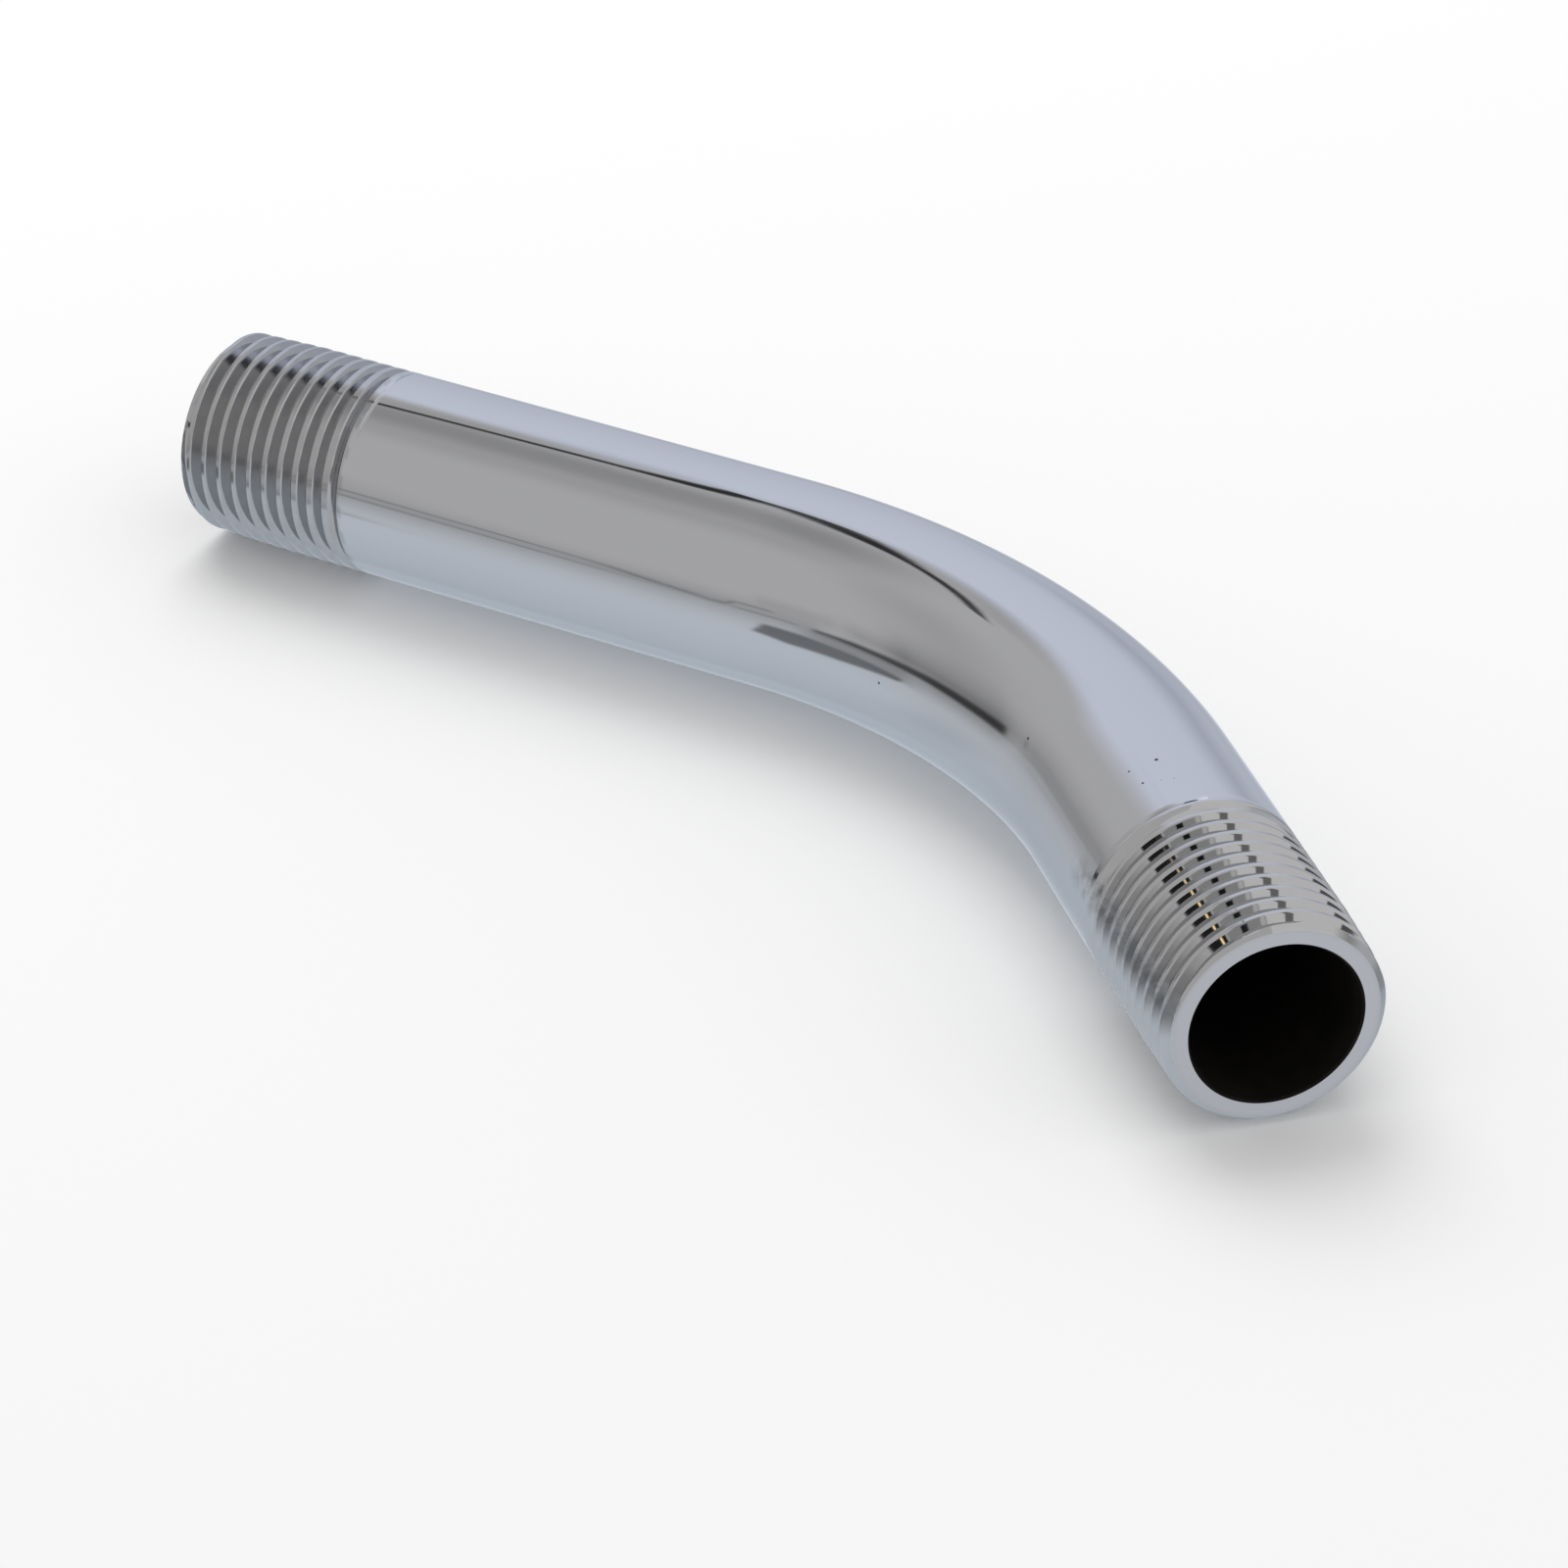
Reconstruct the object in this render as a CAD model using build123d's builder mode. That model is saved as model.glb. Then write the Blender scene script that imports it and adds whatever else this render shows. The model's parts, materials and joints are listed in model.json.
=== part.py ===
from build123d import *
import os

# A shower arm: one bent brass tube, turned down at both ends for a taper pipe thread.
# It lies with its bend in the XY plane. The origin is the centre of the inlet face,
# the long leg runs along +X and the short leg turns towards -Y.

# The drawn tube, in millimetres
outside_diameter = 20.64
wall = 2.54

# The route of its axis, from the inlet face to the outlet face
inlet_leg = 63.5
bend_radius = 67.5
bend_angle = 45.0
outlet_leg = 37.0

# The turned ends: the thread's crests lie on a cone that meets the tube's own surface
taper = 1 / 16  # loss of diameter for each millimetre towards the face
taper_length = 8.0  # from the end face to the tube's full diameter
end_chamfer = 0.75  # at 45 degrees, for starting the thread in its socket
bore_edge = 0.2  # broken edge at each mouth of the waterway

outer_radius = outside_diameter / 2
bore_radius = outer_radius - wall
crest_loss = (taper_length - end_chamfer) * taper / 2
chamfer_radius = outer_radius - crest_loss
face_radius = chamfer_radius - end_chamfer
waste_radius = outer_radius + wall  # the turning cuts run out to here, clear of the tube


with BuildPart() as arm:
    with BuildLine() as route:
        long_leg = Line((0, 0), (inlet_leg, 0))
        bend = JernArc(long_leg @ 1, long_leg % 1, bend_radius, -bend_angle)
        short_leg = PolarLine(bend @ 1, outlet_leg, direction=bend % 1)

    inlet_face = Plane(long_leg @ 0, z_dir=-(long_leg % 0))
    outlet_face = Plane(short_leg @ 1, z_dir=short_leg % 1)

    with BuildSketch(inlet_face):
        Circle(outer_radius)
        Circle(bore_radius, mode=Mode.SUBTRACT)
    sweep(path=route.wires()[0])

    # Taper and chamfer: here X is the distance from the axis and Y the depth behind the face
    for face in (inlet_face, outlet_face):
        with BuildSketch(Plane(face.origin, x_dir=face.x_dir, z_dir=face.y_dir)):
            with BuildLine():
                Polyline(
                    (face_radius, 0),
                    (chamfer_radius, end_chamfer),
                    (outer_radius, taper_length),
                    (waste_radius, taper_length),
                    (waste_radius, -end_chamfer),
                    (face_radius, -end_chamfer),
                    close=True,
                )
            make_face()
        revolve(axis=Axis(face.origin, face.z_dir), mode=Mode.SUBTRACT)

    end_faces = arm.faces().filter_by(GeomType.PLANE)
    mouths = [end_face.inner_wires()[0].edges()[0] for end_face in end_faces]
    chamfer(mouths, bore_edge)

arm.part.label = "arm"

os.makedirs("parts", exist_ok=True)
export_step(arm.part, "parts/arm.step")
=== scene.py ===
import json
import math
import bmesh
import bpy
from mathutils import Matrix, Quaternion, Vector


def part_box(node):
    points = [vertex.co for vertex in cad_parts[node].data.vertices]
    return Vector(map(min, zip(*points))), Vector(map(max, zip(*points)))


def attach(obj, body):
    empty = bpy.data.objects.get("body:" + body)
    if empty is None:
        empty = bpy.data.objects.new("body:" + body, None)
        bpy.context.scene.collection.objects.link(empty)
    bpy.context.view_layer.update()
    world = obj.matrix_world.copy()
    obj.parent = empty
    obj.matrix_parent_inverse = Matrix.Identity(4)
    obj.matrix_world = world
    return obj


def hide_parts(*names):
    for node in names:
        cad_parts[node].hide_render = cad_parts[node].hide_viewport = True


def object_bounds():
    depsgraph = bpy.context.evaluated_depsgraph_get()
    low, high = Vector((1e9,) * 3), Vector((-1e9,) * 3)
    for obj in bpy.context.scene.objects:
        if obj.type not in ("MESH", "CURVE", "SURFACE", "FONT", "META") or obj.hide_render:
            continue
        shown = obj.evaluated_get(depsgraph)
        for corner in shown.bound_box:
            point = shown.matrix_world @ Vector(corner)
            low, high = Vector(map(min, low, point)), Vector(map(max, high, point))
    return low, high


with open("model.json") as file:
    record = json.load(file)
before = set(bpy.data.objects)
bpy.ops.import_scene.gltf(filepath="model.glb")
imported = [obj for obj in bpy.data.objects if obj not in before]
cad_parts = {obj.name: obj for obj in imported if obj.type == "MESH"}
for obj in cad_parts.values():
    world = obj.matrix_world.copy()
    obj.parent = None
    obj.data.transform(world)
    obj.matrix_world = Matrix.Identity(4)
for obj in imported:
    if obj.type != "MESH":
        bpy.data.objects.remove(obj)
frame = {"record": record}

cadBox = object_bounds()
mm = 0.001


# A number that travels through a node tree: adding or multiplying it lays down a Math node
class Wire:
    def __init__(self, tree, socket):
        self.tree = tree
        self.socket = socket

    def math(self, operation, *others):
        node = self.tree.nodes.new("ShaderNodeMath")
        node.operation = operation
        for slot, value in zip(node.inputs, (self, *others)):
            feed(self.tree, slot, value)
        return Wire(self.tree, node.outputs[0])

    def __add__(self, other):
        return self.math("ADD", other)

    def __sub__(self, other):
        return self.math("SUBTRACT", other)

    def __mul__(self, other):
        return self.math("MULTIPLY", other)

    def __truediv__(self, other):
        return self.math("DIVIDE", other)

    def least(self, other):
        return self.math("MINIMUM", other)

    def most(self, other):
        return self.math("MAXIMUM", other)

    def ramp(self, start, end, low=0.0, high=1.0, smooth=False):
        node = self.tree.nodes.new("ShaderNodeMapRange")
        node.interpolation_type = "SMOOTHSTEP" if smooth else "LINEAR"
        for slot, value in zip(node.inputs, (self, start, end, low, high)):
            feed(self.tree, slot, value)
        return Wire(self.tree, node.outputs[0])

    # 1 where the wire is 0, and less by this share where it is 1
    def dimming(self, share=1.0):
        return self * -share + 1.0


def feed(tree, slot, value):
    if isinstance(value, Wire):
        tree.links.new(value.socket, slot)
    else:
        slot.default_value = value


def addNode(tree, kind, feeds=None, **settings):
    node = tree.nodes.new(kind)
    for name, value in settings.items():
        setattr(node, name, value)
    for name, value in (feeds or {}).items():
        feed(tree, node.inputs[name], value)
    return node


def out(tree, node, name=0):
    return Wire(tree, node.outputs[name])


def splitVector(tree, vector):
    node = addNode(tree, "ShaderNodeSeparateXYZ", {"Vector": vector})
    return [out(tree, node, axis) for axis in "XYZ"]


def joinVector(tree, x, y, z):
    return out(tree, addNode(tree, "ShaderNodeCombineXYZ", {"X": x, "Y": y, "Z": z}))


def mixColour(tree, share, first, second):
    node = addNode(tree, "ShaderNodeMix", {0: share}, data_type="RGBA")
    for slot, value in ((node.inputs[6], first), (node.inputs[7], second)):
        if isinstance(value, Wire):
            tree.links.new(value.socket, slot)
        else:
            slot.default_value = (*value, 1.0)
    return out(tree, node, 2)


def newMaterial(name):
    material = bpy.data.materials.new(name)
    material.use_nodes = True
    tree = material.node_tree
    tree.nodes.clear()
    return material, tree


# Chrome plate: a mirror with slow waves from the bending, duller where the die has cut. In a row of four
# numbers a noise counts from the first to the second, and gives the third to the fourth.
chromeLook = {
    "colour": (0.55, 0.565, 0.59),
    "outlet thread colour": (0.49, 0.495, 0.505),
    "inlet thread colour": (0.44, 0.445, 0.455),
    "changeover": (30 * mm, 60 * mm),     # along X, from the inlet's finish to the outlet's
    "root colour": (0.46, 0.455, 0.45),   # thinner plate, deep in the grooves
    "root depths": (0.66 * mm, 1.1 * mm),
    "edge colour": (0.72, 0.73, 0.75, 1.0),
    "roughness": 0.035,
    "outlet thread roughness": 0.03,
    "inlet thread roughness": 0.07,
    # noises, each with its size, detail and roughness
    "waves": (24 * mm, 1.0, 0.5),
    "wave height": 0.025 * mm,
    "ripples": (3.2 * mm, 3.0, 0.55),
    "ripple height": 0.0011 * mm,
    "smears": (11 * mm, 4.0, 0.62),
    "smear roughness": (0.35, 0.75, 0.0, 0.035),
    "outlet smears cut": 0.8,      # the outlet's thread is cleaner and smoother than the tube
    "outlet ripples cut": 0.7,
    "grain": (1.3 * mm, 3.0, 0.6),  # the die's rough marks
    "grain shares": (0.35, 0.7, 0.75, 1.0),
    "grain roughness": 0.04,
    "outlet grain height": 0.0001 * mm,
    "inlet grain height": 0.0012 * mm,
    # painted reflection: a dark streak painted along the left side of the outlet's thread, standing in for
    # the bend and its shadow mirrored there; the streak is also made rougher
    "smudge colour": (0.17, 0.175, 0.18),
    "smudge strength": 0.75,
    "smudge roughness": 0.12,
    "smudge height": 2.7 * mm,     # above the axis
    "smudge reach": (0.4 * mm, 2.2 * mm),
    "smudge start": (104 * mm, 109 * mm),  # along the outlet leg's axis
    "smudge end": (128 * mm, 129 * mm),
    "smudge side": (58 * mm, 60 * mm),     # square to that axis
    "smudge noise": (1.7 * mm, 3.0, 0.6),
    "smudge shares": (0.36, 0.6, 0.1, 1.0),
    "pit colour": (0.05, 0.05, 0.055),
    "pit roughness": 0.4,
    "pit depth": 0.05 * mm,
    "pit edge": (0.6, 1.3),        # where a pit's shade starts and ends, in its radii
}
# Pits in the plate: place on the tube and radius, in millimetres, and how dark each is
platePits = [
    ((116.55, -27.35, 10.20), 0.17, 1.0),
    ((114.84, -29.25, 9.45), 0.11, 0.8),
    ((116.87, -30.69, 9.62), 0.12, 0.9),
    ((117.90, -28.00, 10.15), 0.10, 0.3),
    ((118.40, -30.10, 10.00), 0.09, 0.35),
    ((119.30, -29.50, 10.20), 0.09, 0.3),
    ((81.51, -13.21, 0.63), 0.13, 0.8),
    ((101.80, -22.83, 5.62), 0.14, 0.9),
    ((103.10, -24.60, 5.00), 0.08, 0.5),
]


def noise(tree, place, size, detail, roughness):
    node = addNode(tree, "ShaderNodeTexNoise", {
        "Vector": place, "Scale": 1 / size, "Detail": detail, "Roughness": roughness})
    return out(tree, node, "Fac")


# How much of a point the painted reflection streak covers
def paintedReflectionShare(tree, place):
    look = chromeLook
    x, y, z = splitVector(tree, place)
    along, across = (x - y) * math.sqrt(0.5), (x + y) * math.sqrt(0.5)
    share = (z - look["smudge height"]).math("ABSOLUTE").ramp(*look["smudge reach"], 1.0, 0.0, True)
    share = share * along.ramp(*look["smudge start"]) * along.ramp(*look["smudge end"], 1.0, 0.0)
    share = share * across.ramp(*look["smudge side"], 1.0, 0.0)
    return share * noise(tree, place, *look["smudge noise"]).ramp(*look["smudge shares"])


# How deep in a pit a point is
def pitShare(tree, place):
    inner, outer = chromeLook["pit edge"]
    shares = []
    for pitPlace, radius, strength in platePits:
        there = tuple(value * mm for value in pitPlace)
        fromPit = addNode(tree, "ShaderNodeVectorMath", {0: place, 1: there}, operation="DISTANCE")
        distance = out(tree, fromPit, "Value")
        shares.append(distance.ramp(radius * inner * mm, radius * outer * mm, strength, 0.0, True))
    deepest = shares[0]
    for share in shares[1:]:
        deepest = deepest.most(share)
    return deepest


def makeChromePlate():
    look = chromeLook
    material, tree = newMaterial("chromePlate")
    place = out(tree, addNode(tree, "ShaderNodeTexCoord"), "Object")
    threaded = out(tree, addNode(tree, "ShaderNodeAttribute", attribute_name="threaded"), "Fac")
    depth = out(tree, addNode(tree, "ShaderNodeAttribute", attribute_name="grooveDepth"), "Fac")
    root = depth.ramp(*look["root depths"])
    atInlet = splitVector(tree, place)[0].ramp(*look["changeover"], 1.0, 0.0)
    grain = noise(tree, place, *look["grain"])
    patchy = grain.ramp(*look["grain shares"])
    paintedReflection = paintedReflectionShare(tree, place)
    pit = pitShare(tree, place)

    cutColour = mixColour(tree, atInlet, look["outlet thread colour"], look["inlet thread colour"])
    colour = mixColour(tree, threaded * patchy, look["colour"], cutColour)
    colour = mixColour(tree, root * patchy, colour, look["root colour"])
    # painted reflection: the dark streak of the mirrored bend and its shadow, painted into the colour
    colour = mixColour(tree, paintedReflection * look["smudge strength"], colour, look["smudge colour"])
    colour = mixColour(tree, pit, colour, look["pit colour"])

    keen = threaded * atInlet.dimming()  # the outlet's thread is the brighter of the two
    smear = noise(tree, place, *look["smears"]).ramp(*look["smear roughness"])
    cutRoughness = atInlet.ramp(0.0, 1.0, look["outlet thread roughness"], look["inlet thread roughness"])
    roughness = threaded.ramp(0.0, 1.0, look["roughness"], cutRoughness)
    roughness = roughness + smear * keen.dimming(look["outlet smears cut"])
    roughness = roughness + grain * threaded * atInlet * look["grain roughness"]
    roughness = roughness + pit * look["pit roughness"] + paintedReflection * look["smudge roughness"]

    height = noise(tree, place, *look["waves"]) * look["wave height"]
    ripples = noise(tree, place, *look["ripples"]) * keen.dimming(look["outlet ripples cut"])
    grainHeight = atInlet.ramp(0.0, 1.0, look["outlet grain height"], look["inlet grain height"])
    height = height + ripples * look["ripple height"]
    height = height + grain * threaded * grainHeight - pit * look["pit depth"]
    bump = addNode(tree, "ShaderNodeBump", {"Height": height})
    bump.inputs["Strength"].default_value = 1.0
    bump.inputs["Distance"].default_value = 1.0
    shader = addNode(tree, "ShaderNodeBsdfPrincipled", {
        "Base Color": colour, "Roughness": roughness, "Normal": out(tree, bump)})
    shader.inputs["Metallic"].default_value = 1.0
    shader.inputs["Specular Tint"].default_value = look["edge colour"]
    addNode(tree, "ShaderNodeOutputMaterial", {"Surface": out(tree, shader)})
    return material


# The inside of the tube: dull tarnished brass, its colour painted near-black as painted shade for the deep
# bore
waterwayLook = {
    # near-black: the brass's tarnish together with painted shade of the deep bore
    "colour": (0.012, 0.009, 0.007),
    "stain colour": (0.004, 0.0035, 0.003),
    "stains": (4 * mm, 4.0, 0.6),   # a noise's size, detail and roughness
    "stain shares": (0.35, 0.65),
    "roughness": (0.3, 0.7, 0.7, 0.9),
    "gloss": 0.15,
}


def makeShadedWaterwayBrass():
    material, tree = newMaterial("shadedWaterwayBrass")
    place = out(tree, addNode(tree, "ShaderNodeTexCoord"), "Object")
    stained = noise(tree, place, *waterwayLook["stains"])
    share = stained.ramp(*waterwayLook["stain shares"])
    colour = mixColour(tree, share, waterwayLook["colour"], waterwayLook["stain colour"])
    shader = addNode(tree, "ShaderNodeBsdfPrincipled", {
        "Base Color": colour, "Roughness": stained.ramp(*waterwayLook["roughness"])})
    shader.inputs["Specular IOR Level"].default_value = waterwayLook["gloss"]
    addNode(tree, "ShaderNodeOutputMaterial", {"Surface": out(tree, shader)})
    return material


# The arm: sizes in millimetres. Its route, diameter and bore come from the frame.
armSizes = {
    "mouth edge": 0.2,       # broken edge of the bore, left out of the bore mounts' lengths
    "face radius": 9.343,
    "end chamfer": 0.75,
    "crest radius": 10.0703,  # at the face, on the cone that the crests lie on
    "root radius": 8.906,     # at the face
    "taper": 1 / 32,          # gain of radius for each millimetre from the face
    "pitch": 25.4 / 14,
    "root flat": 0.04,        # half of the groove's floor
    "outlet root limit": 9.15,  # the outlet's roots rise no further, so its crests stay narrow
    "run-out start": 17.4,    # where the die's lead starts to leave the groove shallow
    "run-out slope": 0.36,
    "rim fade": 0.6,          # fall of the groove's floor from the rim, to leave the face round
    "thread end": 22.0,       # plain tube from here on
    "corner": 0.03,           # half of the small facet along each crest's edge
    "corner step": 3.0,       # from a corner to the next row, in the same halves
    "corner limit": 1 / 8,    # of a flank, where the groove is shallow
    "inlet phase": 0.95,      # first crest's distance from the face, above the axis
    "outlet phase": 0.15,
    "shallowest": 0.08,       # groove that the rows still leave room for
    "cut depths": (0.02, 0.22),  # from plain tube to the thread's finish
    "columns": 160,           # round the tube
    "rows per turn": 16,      # twice the knots of a half turn, which helixDistance lists
    "chamfer rows": 8,
    "face rows": 3,
    "tube rows": 64,
    "bore rows": 56,
    "weld": 0.001,            # points nearer than this become one
    "second weld": 0.0005,
    "keen edge": 35,          # degrees, and sharper edges aren't smoothed
}


def routeFromFrame():
    mounts = {mount["name"]: mount for mount in frame["record"]["mounts"]}
    low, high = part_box("arm")
    edge = armSizes["mouth edge"] * mm
    inletLeg = mounts["inlet_bore"]["dims"]["length_mm"] * mm + edge
    outletLeg = mounts["outlet_bore"]["dims"]["length_mm"] * mm + edge
    outletAt = mounts["outlet_thread"]["pos_m"]
    outletAxis = mounts["outlet_thread"]["axis"]
    bendAngle = math.atan2(-outletAxis[1], outletAxis[0])
    bendRadius = (outletAt[0] - inletLeg - outletLeg * math.cos(bendAngle)) / math.sin(bendAngle)
    return {
        "Outside Radius": (high.z - low.z) / 2,
        "Bore Radius": mounts["inlet_bore"]["dims"]["r_mm"] * mm,
        "Inlet Leg": inletLeg,
        "Bend Radius": bendRadius,
        "Bend Angle": bendAngle,
        "Outlet Leg": outletLeg,
    }


def threadInputs():
    lengths = (
        "Mouth Edge", "Face Radius", "End Chamfer", "Crest Radius", "Root Radius", "Outlet Root Limit",
        "Pitch", "Root Flat", "Run-out Start", "Thread End", "Corner", "Inlet Phase", "Outlet Phase")
    slopes = ("Taper", "Run-out Slope", "Rim Fade")
    values = {name: armSizes[name.lower()] * mm for name in lengths}
    values.update({name: armSizes[name.lower()] for name in slopes})
    return values


# The arm's skin as a node tree: its patches are flat grids, bent to shape and welded along their rims
class ArmTree:
    def __init__(self, values, skinMaterial, waterwayMaterial):
        self.tree = bpy.data.node_groups.new("armSkin", "GeometryNodeTree")
        sockets = self.tree.interface
        self.identifiers = {}
        for name in values:
            item = sockets.new_socket(name=name, in_out="INPUT", socket_type="NodeSocketFloat")
            self.identifiers[name] = item.identifier
        sockets.new_socket(name="Geometry", in_out="OUTPUT", socket_type="NodeSocketGeometry")
        entry = addNode(self.tree, "NodeGroupInput")
        self.sizes = {name: out(self.tree, entry, name) for name in values}
        self.patches = []
        place = out(self.tree, addNode(self.tree, "GeometryNodeInputPosition"))
        across, around = splitVector(self.tree, place)[:2]
        self.along = across + 0.5    # 0 to 1 over a patch's rows
        self.around = around + 0.5   # 0 to 1 round the tube
        self.build()
        self.finish(skinMaterial, waterwayMaterial)

    # The distance from an end face runs along the route from the inlet, or back from the outlet
    def station(self, distance, atOutlet):
        size = self.sizes
        if not atOutlet:
            return distance
        return size["Inlet Leg"] + size["Bend Radius"] * size["Bend Angle"] + size["Outlet Leg"] - distance

    # A grid whose points are set by their station on the route, their radius and their turn
    def patch(self, rows, station, radius, turn, threaded=0.0, waterway=False):
        size = self.sizes
        grid = addNode(self.tree, "GeometryNodeMeshGrid", {
            "Vertices X": rows + 1, "Vertices Y": armSizes["columns"] + 1, "Size X": 1.0, "Size Y": 1.0})
        bendLength = size["Bend Radius"] * size["Bend Angle"]
        pastBend = (station - size["Inlet Leg"] - bendLength).most(0.0)
        inBend = (station - size["Inlet Leg"]).most(0.0).least(bendLength)
        turned = inBend / size["Bend Radius"]
        cosTurned, sinTurned = turned.math("COSINE"), turned.math("SINE")
        cosEnd, sinEnd = size["Bend Angle"].math("COSINE"), size["Bend Angle"].math("SINE")
        centreX = station.least(size["Inlet Leg"]) + size["Bend Radius"] * sinTurned + pastBend * cosEnd
        centreY = (cosTurned - 1.0) * size["Bend Radius"] - pastBend * sinEnd
        angle = turn * math.tau
        side = angle.math("SINE") * radius
        place = joinVector(
            self.tree,
            centreX + side * sinTurned,
            centreY + side * cosTurned,
            angle.math("COSINE") * radius)
        total = self.station(self.along * 0.0, True)
        depth = (self.crestRadius(station.least(total - station)) - radius) * threaded
        geometry = out(self.tree, grid, "Mesh")
        # the attributes read the flat grid, so they are stored before its points move
        for name, value, kind, domain in (
                ("waterway", waterway, "BOOLEAN", "FACE"),
                ("threaded", threaded, "FLOAT", "POINT"),
                ("grooveDepth", depth, "FLOAT", "POINT")):
            stored = addNode(self.tree, "GeometryNodeStoreNamedAttribute", {
                "Geometry": geometry, "Name": name}, data_type=kind, domain=domain)
            feed(self.tree, stored.inputs["Value"], value)
            geometry = out(self.tree, stored)
        moved = addNode(self.tree, "GeometryNodeSetPosition", {"Geometry": geometry, "Position": place})
        self.patches.append(out(self.tree, moved))

    # How far a point is from the middle of the nearest groove, along the axis
    def grooveOffset(self, distance, turn, phase):
        turns = (distance - phase) / self.sizes["Pitch"] - turn
        return (turns.math("FRACT") - 0.5) * self.sizes["Pitch"]

    # The cone that the die's lead leaves, where the grooves run out
    def dieRadius(self, distance, atOutlet):
        size = self.sizes
        atRunOut = self.rootRadius(size["Run-out Start"], atOutlet)
        return atRunOut + (distance - size["Run-out Start"]) * size["Run-out Slope"]

    # Radius of the threaded end at a distance from its face and a turn round it, both fields
    def threadRadius(self, distance, turn, phase, atOutlet):
        size = self.sizes
        offset = self.grooveOffset(distance, turn, phase)
        flank = (offset.math("ABSOLUTE") - size["Root Flat"]).most(0.0) * math.sqrt(3)
        rim = size["Face Radius"] - distance * size["Rim Fade"]
        floor = self.rootRadius(distance - offset, atOutlet) + flank
        floor = floor.most(self.dieRadius(distance, atOutlet)).most(rim)
        return self.crestRadius(distance).least(floor)

    # 1 where the nearest groove is cut, 0 past the last one
    def threadMark(self, distance, turn, phase, atOutlet):
        middle = distance - self.grooveOffset(distance, turn, phase)
        floor = self.rootRadius(middle, atOutlet).most(self.dieRadius(middle, atOutlet))
        shallow, deep = armSizes["cut depths"]
        return (self.crestRadius(middle) - floor).ramp(shallow * mm, deep * mm)

    def crestRadius(self, distance):
        size = self.sizes
        cone = (size["Crest Radius"] + distance * size["Taper"]).least(size["Outside Radius"])
        return cone.least(size["Face Radius"] + distance)

    def rootRadius(self, distance, atOutlet):
        size = self.sizes
        root = size["Root Radius"] + distance * size["Taper"]
        return root.least(size["Outlet Root Limit"]) if atOutlet else root

    # Rows that follow the helix, so that the crests' edges are edges of the mesh
    def helixDistance(self, phase, firstTurn, turns, turn, atOutlet):
        size = self.sizes
        step = armSizes["corner step"]
        row = self.along * turns + firstTurn
        inTurn = row.math("FRACT") - 0.5
        fromCentre = inTurn.math("ABSOLUTE") * float(armSizes["rows per turn"])
        groove = (row - inTurn + turn) * size["Pitch"] + phase
        crest = (size["Crest Radius"] + groove * size["Taper"]).least(size["Outside Radius"])
        depth = (crest - self.rootRadius(groove, atOutlet)).most(armSizes["shallowest"] * mm)
        halfWidth = size["Root Flat"] + depth / math.sqrt(3)
        corner = size["Corner"].least((halfWidth - size["Root Flat"]) * armSizes["corner limit"])
        knots = [   # one for each row between a groove's middle and the next crest's
            size["Root Flat"] - corner,
            size["Root Flat"] + corner,
            size["Root Flat"] + corner * step,
            halfWidth - corner * step,
            halfWidth - corner,
            halfWidth + corner,
            halfWidth + corner * step,
            size["Pitch"] * 0.5,
        ]
        offset = fromCentre.ramp(0.0, 1.0, 0.0, knots[0])
        for number, (near, far) in enumerate(zip(knots, knots[1:]), 1):
            offset = offset + fromCentre.ramp(float(number), number + 1.0, 0.0, far - near)
        distance = groove + offset * inTurn.math("SIGN")
        return distance.most(size["End Chamfer"]).least(size["Thread End"])

    def build(self):
        size = self.sizes
        pitch = armSizes["pitch"]
        nothing = self.along * 0.0
        mouthRadius = size["Bore Radius"] + size["Mouth Edge"]
        for atOutlet in (False, True):
            phaseName = "Outlet Phase" if atOutlet else "Inlet Phase"
            phase = size[phaseName]
            start = armSizes[phaseName.lower()]
            # seen from either face the thread turns the same way, so the inlet's turn runs backwards
            turn = self.around if atOutlet else self.around.dimming()
            fromZ = self.around
            firstTurn = math.floor((armSizes["end chamfer"] - start) / pitch) - 1
            lastTurn = math.ceil((armSizes["thread end"] - start) / pitch)
            turns = lastTurn - firstTurn
            distance = self.helixDistance(phase, float(firstTurn), float(turns), fromZ, atOutlet)
            self.patch(
                turns * armSizes["rows per turn"],
                self.station(distance, atOutlet),
                self.threadRadius(distance, fromZ, phase, atOutlet),
                turn,
                self.threadMark(distance, fromZ, phase, atOutlet))
            distance = self.along * size["End Chamfer"]
            chamfer = self.threadRadius(distance, fromZ, phase, atOutlet)
            self.patch(armSizes["chamfer rows"], self.station(distance, atOutlet), chamfer, turn, 1.0)
            rim = self.threadRadius(nothing, fromZ, phase, atOutlet)
            faceRadius = self.along * (rim - mouthRadius) + mouthRadius
            self.patch(armSizes["face rows"], self.station(nothing, atOutlet), faceRadius, turn)
            distance = self.along.dimming() * size["Mouth Edge"]
            mouth = size["Bore Radius"] + self.along * size["Mouth Edge"]
            self.patch(1, self.station(distance, atOutlet), mouth, turn, waterway=True)
        total = self.station(nothing, True)
        tube = self.along * (total - size["Thread End"] * 2.0) + size["Thread End"]
        self.patch(armSizes["tube rows"], tube, size["Outside Radius"] + nothing, self.around)
        bore = self.along * (total - size["Mouth Edge"] * 2.0) + size["Mouth Edge"]
        self.patch(armSizes["bore rows"], bore, size["Bore Radius"] + nothing, self.around, waterway=True)

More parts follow.
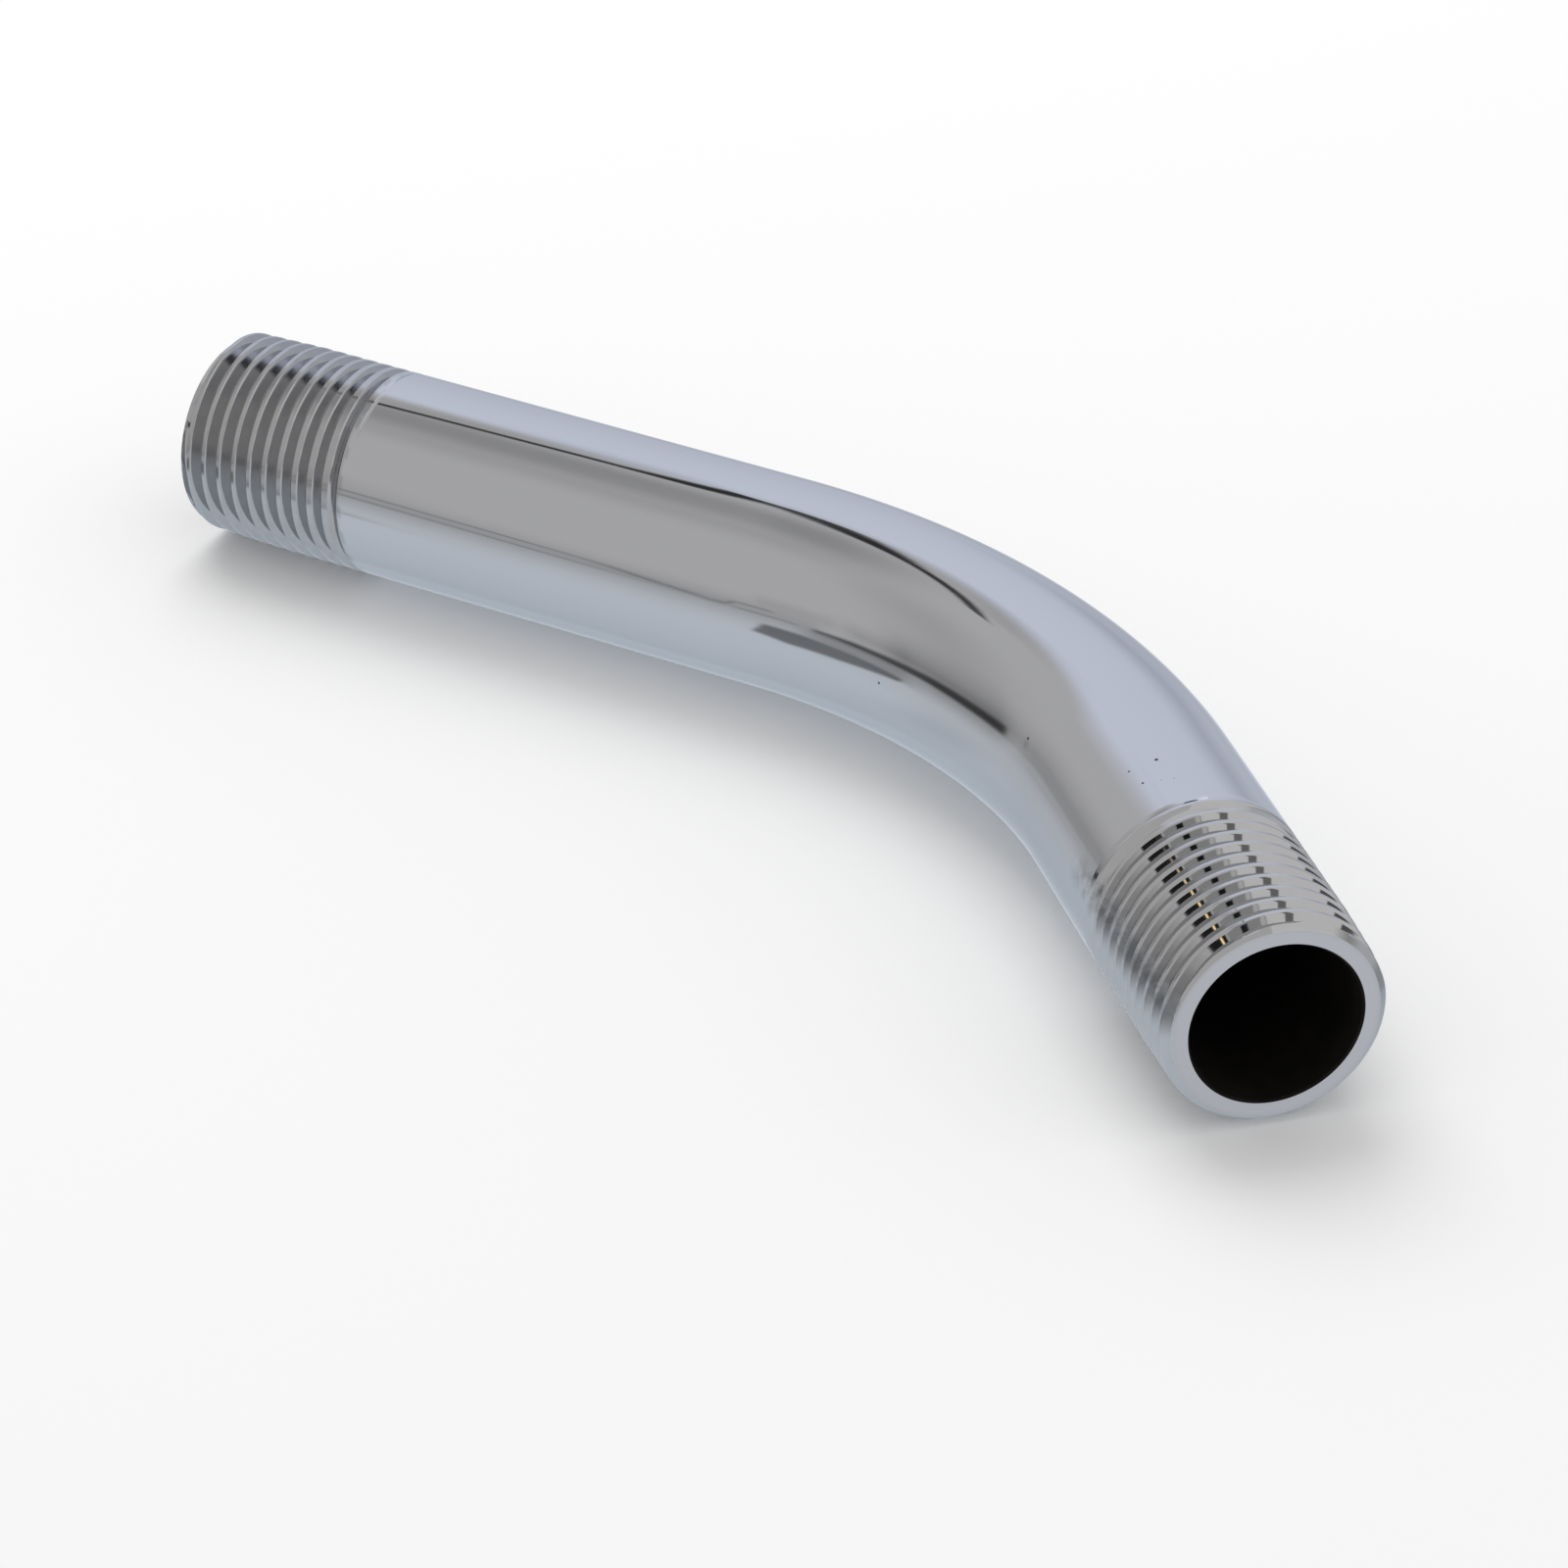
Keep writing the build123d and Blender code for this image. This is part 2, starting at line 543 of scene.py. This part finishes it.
    def finish(self, skinMaterial, waterwayMaterial):
        tree = self.tree
        joined = addNode(tree, "GeometryNodeJoinGeometry")
        for patch in self.patches:
            tree.links.new(patch.socket, joined.inputs[0])
        welded = addNode(tree, "GeometryNodeMergeByDistance", {
            "Geometry": out(tree, joined), "Distance": armSizes["weld"] * mm})
        real = addNode(tree, "GeometryNodeRealizeInstances", {"Geometry": out(tree, welded)})
        skin = addNode(tree, "GeometryNodeSetMaterial", {"Geometry": out(tree, real)})
        skin.inputs["Material"].default_value = skinMaterial
        inside = addNode(tree, "GeometryNodeInputNamedAttribute", {"Name": "waterway"}, data_type="BOOLEAN")
        bore = addNode(tree, "GeometryNodeSetMaterial", {
            "Geometry": out(tree, skin), "Selection": out(tree, inside)})
        bore.inputs["Material"].default_value = waterwayMaterial
        addNode(tree, "NodeGroupOutput", {"Geometry": out(tree, bore)})


def makeArm():
    values = {**routeFromFrame(), **threadInputs()}
    chromePlate, shadedWaterwayBrass = makeChromePlate(), makeShadedWaterwayBrass()
    print("materials: chrome plate and bare waterway")
    armTree = ArmTree(values, chromePlate, shadedWaterwayBrass)
    arm = bpy.data.objects.new("showerArm", bpy.data.meshes.new("showerArmStart"))
    bpy.context.scene.collection.objects.link(arm)
    modifier = arm.modifiers.new("armSkin", "NODES")
    modifier.node_group = armTree.tree
    for name, value in values.items():
        modifier[armTree.identifiers[name]] = value
    bpy.context.view_layer.update()
    made = bpy.data.meshes.new_from_object(arm.evaluated_get(bpy.context.evaluated_depsgraph_get()))
    arm.modifiers.clear()
    arm.data = made
    made.name = "showerArm"
    shell = bmesh.new()
    shell.from_mesh(made)
    bmesh.ops.remove_doubles(shell, verts=shell.verts, dist=armSizes["second weld"] * mm)
    bmesh.ops.recalc_face_normals(shell, faces=shell.faces)
    openEdges = [edge for edge in shell.edges if not edge.is_manifold]
    for face in shell.faces:
        face.smooth = True
    for edge in shell.edges:
        if edge.is_manifold and edge.calc_face_angle() > math.radians(armSizes["keen edge"]):
            edge.smooth = False
    shell.to_mesh(made)
    shell.free()
    print("arm:", len(made.polygons), "faces,", len(openEdges), "open edges")
    return arm


arm = makeArm()
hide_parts("arm")
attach(arm, "root")

# Floor, light and camera
studio = {
    "floor size": 12.0,
    "floor colour": 0.8,
    "seen floor colour": 1.1,
    "mirrored floor": 0.12,      # share of the real floor, shadow and all, in what the chrome mirrors
    "mirrored reach": (0.14, 0.19),  # where that share fades out, from the middle of the arm
    "sky strength": 0.8,
    "lamp power": 6.0,
    "lamp size": 1.0,
    "lamp place": (-0.5, 0.5, 1.1),
    "middle": (0.075, -0.015, 0.0),  # of the arm
}


def seenDirectly(tree):
    path = addNode(tree, "ShaderNodeLightPath")
    seen = out(tree, path, "Is Camera Ray") + out(tree, path, "Is Glossy Ray")
    return (seen + out(tree, path, "Is Transmission Ray")).least(1.0)


def makeFloor():
    material, tree = newMaterial("paleFloor")
    shade = seenDirectly(tree).ramp(0.0, 1.0, studio["floor colour"], studio["seen floor colour"])
    colour = joinVector(tree, shade, shade, shade)
    paint = addNode(tree, "ShaderNodeBsdfDiffuse", {"Color": colour})
    place = out(tree, addNode(tree, "ShaderNodeTexCoord"), "Object")
    x, y = splitVector(tree, place)[:2]
    away = joinVector(tree, x - studio["middle"][0], y - studio["middle"][1], 0.0)
    distance = out(tree, addNode(tree, "ShaderNodeVectorMath", {0: away}, operation="LENGTH"), "Value")
    share = distance.ramp(*studio["mirrored reach"], 1.0 - studio["mirrored floor"], 1.0)
    mirrored = out(tree, addNode(tree, "ShaderNodeLightPath"), "Is Glossy Ray")
    clear = addNode(tree, "ShaderNodeBsdfTransparent")
    mixed = addNode(tree, "ShaderNodeMixShader", {
        0: mirrored * share, 1: out(tree, paint), 2: out(tree, clear)})
    addNode(tree, "ShaderNodeOutputMaterial", {"Surface": out(tree, mixed)})
    level = cadBox[0].z
    half = studio["floor size"] / 2
    mesh = bpy.data.meshes.new("floor")
    corners = [(-half, -half, level), (half, -half, level), (half, half, level), (-half, half, level)]
    mesh.from_pydata(corners, [], [(0, 1, 2, 3)])
    mesh.materials.append(material)
    floor = bpy.data.objects.new("floor", mesh)
    bpy.context.scene.collection.objects.link(floor)


def makeWorld():
    world = bpy.data.worlds.new("studioSky")
    world.use_nodes = True
    tree = world.node_tree
    tree.nodes.clear()
    strength = seenDirectly(tree).ramp(0.0, 1.0, studio["sky strength"], 1.0)
    sky = addNode(tree, "ShaderNodeBackground", {"Strength": strength})
    addNode(tree, "ShaderNodeOutputWorld", {"Surface": out(tree, sky)})
    bpy.context.scene.world = world


# What the chrome mirrors, painted inside a big ball round the arm. Directions are in degrees: azimuth
# from +X towards +Y, here 60 to 420, and elevation. Each shade is a soft-edged strip along a path, and
# either darkens what is there by a share or covers it with a colour.
tentLook = {
    "radius": 6.5,
    "edge radius": 0.35,   # the dark edge hangs nearer, so it shifts along the arm
    "segments": (64, 32),  # of both balls
    "seam azimuth": 60.0,
    "wall colour": (0.648, 0.633, 0.627),
    "back colour": (0.88, 0.91, 1.03),
    "back side": (31.0, 50.0, 153.0, 137.0),  # between these elevations it leans from 153 to 137
    "back softness": (-8.0, 6.0),
    "back top": (54.0, 60.0),
    "right colour": (0.85, 0.825, 0.815),
    "right side": (331.0, 334.0),
    "floor colour": (0.73, 0.788, 0.853),
    "floor edge": (-30.0, -1.0),
}
tentShades = [
    # the wall darkens upwards, and the grey panel overhead closes it
    {"path": [(148, 60), (186, 62)], "thick": [12, 12], "soft": 12, "fade": 14, "dark": 0.24},
    {"path": [(150, 60), (216, 60)], "thick": [14, 14], "soft": 14, "fade": 14, "dark": 0.16},
    {"path": [(20, 90), (460, 90)], "thick": [44, 44], "soft": 6, "fade": 5, "colour": (0.8, 0.8, 0.8)},
    {"path": [(182, 30), (208, 30)], "thick": [36, 36], "soft": 24, "fade": 14, "dark": 0.15},
    # the darker foot of the wall, and the floor in front of it
    {"path": [(158, 1), (182, 3)], "thick": [6, 8], "soft": 30, "fade": 4, "dark": 0.42},
    {"path": [(182, 4), (212, 5)], "thick": [8, 8], "soft": 36, "fade": 4, "dark": 0.7},
    {"path": [(226, -6), (252, -6)], "thick": [2, 2], "soft": 34, "fade": 3, "dark": 0.55},
    # thin lines at the foot
    {"path": [(224, 7), (239.6, 7)], "thick": [8, 8], "soft": 10, "fade": 1.2, "dark": 0.12},
    {"path": [(236, -0.7), (243, -0.9)], "thick": [1.0, 1.0], "soft": 1.7, "fade": 1, "dark": 0.47},
    {"path": [(236, -6.1), (243.5, -6.3)], "thick": [1.0, 1.0], "soft": 1.7, "fade": 1, "dark": 0.12},
    {"path": [(243, -1.4), (244.6, -8)], "thick": [2.4, 3], "soft": 2, "fade": 0.4, "dark": 0.5},
    {"path": [(231, -5.3), (243, -6.2)], "thick": [1.1, 1.0], "soft": 1.8, "fade": 1, "dark": 0.45},
    # the two dark streaks under the bend
    {"path": [(182.5, -0.2), (193, -1.4), (203, -1.8), (211, -2.9), (220, -3.8), (228, -5)],
     "thick": [6, 6, 5.6, 5.4, 4.6, 2.4], "soft": 4, "fade": 1, "dark": 0.79},
    {"path": [(207, -14), (219, -17.5), (229, -19.5), (236.8, -19.5)], "thick": [3, 10, 13, 10], "soft": 4,
     "fade": 0.8, "dark": 0.8},
    # a dark line low on the left, for the inlet's chamfer
    {"path": [(129, -21), (150, -22.5)], "thick": [7, 7], "soft": 3, "fade": 1.5, "dark": 0.93},
    # the shade that the streaks fade into, and the floor's slow changes
    {"path": [(205, -10), (220, -9), (228, -9)], "thick": [10, 9, 8], "soft": 5, "fade": 5, "dark": 0.5},
    {"path": [(210, 5), (222, 6)], "thick": [8, 8], "soft": 18, "fade": 5, "dark": 0.3},
    {"path": [(182, -2), (203, -6)], "thick": [6, 6], "soft": 24, "fade": 4, "dark": 0.57},
    {"path": [(158, -5), (177, -4)], "thick": [4, 4], "soft": 20, "fade": 4, "dark": 0.27},
    {"path": [(178, -32), (196, -32)], "thick": [16, 16], "soft": 24, "fade": 8, "dark": 0.16},
    {"path": [(116, -52), (164, -56)], "thick": [30, 30], "soft": 18, "fade": 8, "dark": -0.14},
    {"path": [(176.8, 3), (177.4, 3)], "thick": [7, 7], "soft": 3, "fade": 0.6, "dark": 0.3},
    # low corners of the back panel
    {"path": [(90, 6), (108, 4)], "thick": [16, 12], "soft": 22, "fade": 5, "dark": 0.25},
    {"path": [(100, -14), (128, -14)], "thick": [14, 14], "soft": 14, "fade": 6, "dark": 0.17},
    # the floor beyond the outlet, less blue, which its face mirrors
    {"path": [(300, -34), (360, -34)], "thick": [32, 32], "soft": 14, "fade": 12,
     "colour": (0.71, 0.722, 0.75)},
    # the dim side on the right
    {"path": [(50, 0), (84, 0)], "thick": [60, 60], "soft": 20, "fade": 6, "dark": 0.32},
    {"path": [(388, 0), (430, 0)], "thick": [60, 60], "soft": 20, "fade": 5, "dark": 0.5},
    {"path": [(396, 10), (430, 10)], "thick": [44, 44], "soft": 12, "fade": 4, "colour": (0.64, 0.65, 0.69)},
    # small dark things that the outlet's thread picks up
    {"path": [(262, -24), (279, -18), (290, -2)], "thick": [10, 18, 16], "soft": 16, "fade": 4, "dark": 0.6},
    {"path": [(284, 2), (296, 12)], "thick": [22, 20], "soft": 10, "fade": 4, "dark": 0.2},
    {"path": [(298, 17.6), (309, 20)], "thick": [5, 5], "soft": 1, "fade": 0.5, "dark": 0.97},
    {"path": [(309.8, 22), (329, 25)], "thick": [24, 24], "soft": 3, "fade": 0.6, "dark": 0.42},
    {"path": [(317.5, 24.2), (321.5, 25.4)], "thick": [2.6, 2.6], "soft": 0.8, "fade": 0.5, "dark": 0.97},
    {"path": [(331.8, 24), (332.2, 24)], "thick": [30, 30], "soft": 2, "fade": 0.3, "dark": 0.6},
    {"path": [(343, 22), (347.5, 22)], "thick": [20, 20], "soft": 2, "fade": 0.5, "dark": 0.75},
    {"path": [(371, 3), (380, -6)], "thick": [2.5, 2.5], "soft": 1, "fade": 0.5, "dark": 0.85},
    # the row of dark spots on the inlet's thread, and the brighter patch beside it
    {"path": [(110, 53), (116.5, 56.6), (125, 60)], "thick": [6, 7, 7], "soft": 3, "fade": 1.5, "dark": 0.95},
    {"path": [(84, 42), (107, 48)], "thick": [12, 12], "soft": 6, "fade": 6, "dark": -0.4},
    # a small warm lamp
    {"path": [(306.0, 18.8), (307.0, 19.4)], "thick": [3.2, 3.2], "soft": 0.8, "fade": 0.4,
     "colour": (2.0, 1.4, 0.55)},
]
# the dark edge under the back panel
edgeShades = [
    {"path": [(134.4, 50.8), (136.3, 51.8), (139.9, 52.6), (143, 53), (146.6, 52), (151, 51), (158.5, 49.2)],
     "thick": [2.4, 2.6, 3.0, 2.8, 2.2, 2.0, 1.8], "soft": 1.4, "fade": 0.4, "dark": 0.94},
    {"path": [(132, 46.5), (141, 48), (152, 48)], "thick": [3, 3, 2], "soft": 12, "fade": 3, "dark": 0.22},
]


def alongPath(azimuth, places, values):
    level = azimuth.ramp(places[0], places[1], values[0], values[1])
    for index in range(1, len(places) - 1):
        rise = values[index + 1] - values[index]
        level = level + azimuth.ramp(places[index], places[index + 1], 0.0, rise)
    return level


def softStrip(azimuth, elevation, shade):
    places = [float(place[0]) for place in shade["path"]]
    middle = alongPath(azimuth, places, [float(place[1]) for place in shade["path"]])
    half = alongPath(azimuth, places, [thick / 2 for thick in shade["thick"]])
    edge, fade = shade["soft"] / 2, shade["fade"]
    across = ((elevation - middle).math("ABSOLUTE") - half).ramp(-edge, edge, 1.0, 0.0, True)
    opening = azimuth.ramp(places[0] - fade, places[0] + fade, 0.0, 1.0, True)
    closing = azimuth.ramp(places[-1] - fade, places[-1] + fade, 1.0, 0.0, True)
    return across * opening * closing


def directions(tree):
    place = out(tree, addNode(tree, "ShaderNodeTexCoord"), "Object")
    unit = out(tree, addNode(tree, "ShaderNodeVectorMath", {0: place}, operation="NORMALIZE"))
    x, y, z = splitVector(tree, unit)
    seam = math.radians(tentLook["seam azimuth"])
    ahead = x * math.cos(seam) + y * math.sin(seam)
    aside = y * math.cos(seam) - x * math.sin(seam)
    turned = (aside * -1.0).math("ARCTAN2", ahead * -1.0) * (180 / math.pi)
    azimuth = turned + 180.0 + tentLook["seam azimuth"]
    elevation = z.math("ARCSINE") * (180 / math.pi)
    return azimuth, elevation


def makeBall(name, radius, material):
    mesh = bpy.data.meshes.new(name)
    ball = bmesh.new()
    columns, rows = tentLook["segments"]
    bmesh.ops.create_uvsphere(ball, u_segments=columns, v_segments=rows, radius=radius)
    bmesh.ops.reverse_faces(ball, faces=ball.faces)
    ball.to_mesh(mesh)
    ball.free()
    mesh.materials.append(material)
    tent = bpy.data.objects.new(name, mesh)
    tent.location = studio["middle"]
    tent.visible_camera = False
    tent.visible_diffuse = False
    tent.visible_shadow = False
    tent.visible_transmission = False
    bpy.context.scene.collection.objects.link(tent)


def makeTent():
    material, tree = newMaterial("tentPanels")
    azimuth, elevation = directions(tree)
    backSide = elevation.ramp(*tentLook["back side"])
    back = (azimuth - backSide).ramp(*tentLook["back softness"], 1.0, 0.0, True)
    back = back * elevation.ramp(*tentLook["back top"], 1.0, 0.0, True)
    colour = mixColour(tree, back, tentLook["wall colour"], tentLook["back colour"])
    right = azimuth.ramp(*tentLook["right side"], 0.0, 1.0, True)
    colour = mixColour(tree, right, colour, tentLook["right colour"])
    below = elevation.ramp(*tentLook["floor edge"], 1.0, 0.0)
    colour = mixColour(tree, below, colour, tentLook["floor colour"])
    light = elevation.dimming(0.0)   # 1 everywhere, before the shades
    for shade in tentShades:
        strip = softStrip(azimuth, elevation, shade)
        if "colour" in shade:
            colour = mixColour(tree, strip, colour, shade["colour"])
            light = light + strip - light * strip
        else:
            light = light * strip.dimming(shade["dark"])
    shader = addNode(tree, "ShaderNodeEmission", {"Color": colour, "Strength": light})
    addNode(tree, "ShaderNodeOutputMaterial", {"Surface": out(tree, shader)})
    material.cycles.emission_sampling = "NONE"
    makeBall("lightTent", tentLook["radius"], material)


def makeDarkEdge():
    material, tree = newMaterial("darkEdge")
    azimuth, elevation = directions(tree)
    clear = elevation.dimming(0.0)
    for shade in edgeShades:
        clear = clear * softStrip(azimuth, elevation, shade).dimming(shade["dark"])
    glass = addNode(tree, "ShaderNodeBsdfTransparent")
    feed(tree, glass.inputs["Color"], joinVector(tree, clear, clear, clear))
    addNode(tree, "ShaderNodeOutputMaterial", {"Surface": out(tree, glass)})
    makeBall("darkEdge", tentLook["edge radius"], material)


def makeLamp():
    lamp = bpy.data.lights.new("softLamp", "AREA")
    lamp.shape = "SQUARE"
    lamp.size = studio["lamp size"]
    lamp.energy = studio["lamp power"]
    holder = bpy.data.objects.new("softLamp", lamp)
    holder.location = studio["lamp place"]
    aim = Vector(studio["middle"]) - holder.location
    holder.rotation_euler = aim.to_track_quat("-Z", "Y").to_euler()
    holder.visible_glossy = False
    bpy.context.scene.collection.objects.link(holder)


# The camera stands where the photo was taken from: millimetres, and degrees of roll
view = {
    "place": (281.68, -396.82, 250.93),
    "target": (82.26, -32.72, 0.0),
    "roll": -0.87,
    "lens": 122.835,
    "sensor width": 36.0,
    "sees from": 0.01,   # metres
    "sees to": 50.0,
}


def makeCamera():
    data = bpy.data.cameras.new("photoCamera")
    data.lens = view["lens"]
    data.sensor_width = view["sensor width"]
    data.clip_start, data.clip_end = view["sees from"], view["sees to"]
    camera = bpy.data.objects.new("photoCamera", data)
    place, target = Vector(view["place"]) * mm, Vector(view["target"]) * mm
    look = target - place
    camera.rotation_mode = "QUATERNION"
    camera.rotation_quaternion = Quaternion(look, math.radians(view["roll"])) @ look.to_track_quat("-Z", "Y")
    camera.location = place
    bpy.context.scene.collection.objects.link(camera)
    bpy.context.scene.camera = camera
    bpy.context.view_layer.update()


makeFloor()
makeWorld()
makeTent()
makeDarkEdge()
makeLamp()
print("studio: floor, sky, mirrored tent and lamp are up")
makeCamera()
print("camera: set at the photo's angle")
bpy.context.scene.view_settings.view_transform = "Standard"
